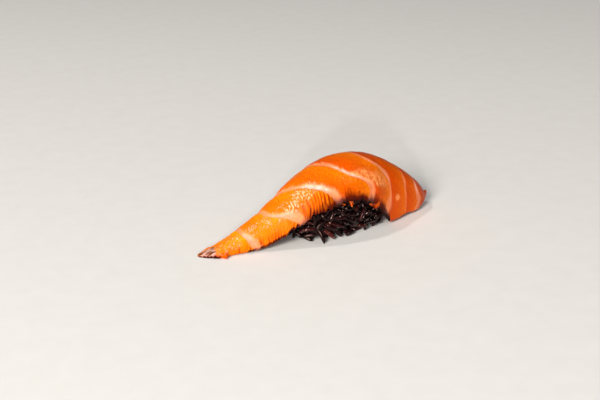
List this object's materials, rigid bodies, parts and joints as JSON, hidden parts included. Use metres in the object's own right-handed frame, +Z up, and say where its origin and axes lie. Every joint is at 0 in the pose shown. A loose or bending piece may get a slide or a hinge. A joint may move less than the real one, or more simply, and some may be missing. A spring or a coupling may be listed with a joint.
{
  "type": "salmon nigiri",
  "caption": "Piece of sushi: a long tapered slice of raw salmon draped over a pressed ball of black rice that shows under its front edge.",
  "frame": {"origin": "on the table plane, under the middle of the piece's bounding box", "axes": "+X along the slice from its pointed tail to its broad end, +Z up; the rice shows most on the -Y side"},
  "size_m": [0.1142, 0.0322, 0.0313],
  "materials": {
    "salmon": "moist gloss over orange flesh with pale bands of fat",
    "black_rice": "sticky gloss on purple-black grains"
  },
  "bodies": {
    "root": {"salmon_slice": "salmon", "rice_ball": "black_rice"}
  },
  "joints": []
}
